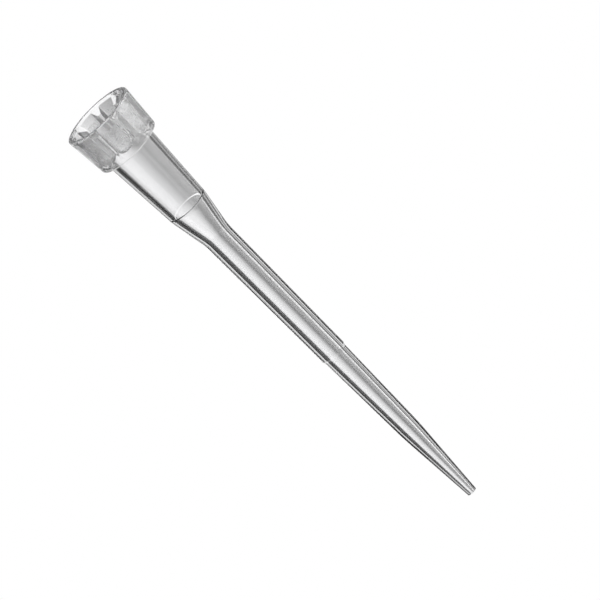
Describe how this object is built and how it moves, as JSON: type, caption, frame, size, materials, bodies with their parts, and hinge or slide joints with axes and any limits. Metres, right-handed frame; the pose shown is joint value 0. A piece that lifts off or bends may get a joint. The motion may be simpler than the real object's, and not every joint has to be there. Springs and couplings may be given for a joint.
{
  "type": "pipette tip",
  "caption": "Long clear micro-volume pipette tip: collar with inner ribs, tapered nozzle socket with a seat, slender stepped shaft, fine open point.",
  "frame": {"origin": "centre of the mouth, in the plane of the rim that the tip stands on", "axes": "+Z along the axis from the mouth to the point; one collar flute faces -Y"},
  "size_m": [0.0066, 0.0066, 0.046],
  "materials": {
    "clear_polypropylene": "clear moulded polypropylene, glossy, with a faintly hazy collar"
  },
  "bodies": {
    "root": {"pipette_tip": "clear_polypropylene"}
  },
  "joints": []
}
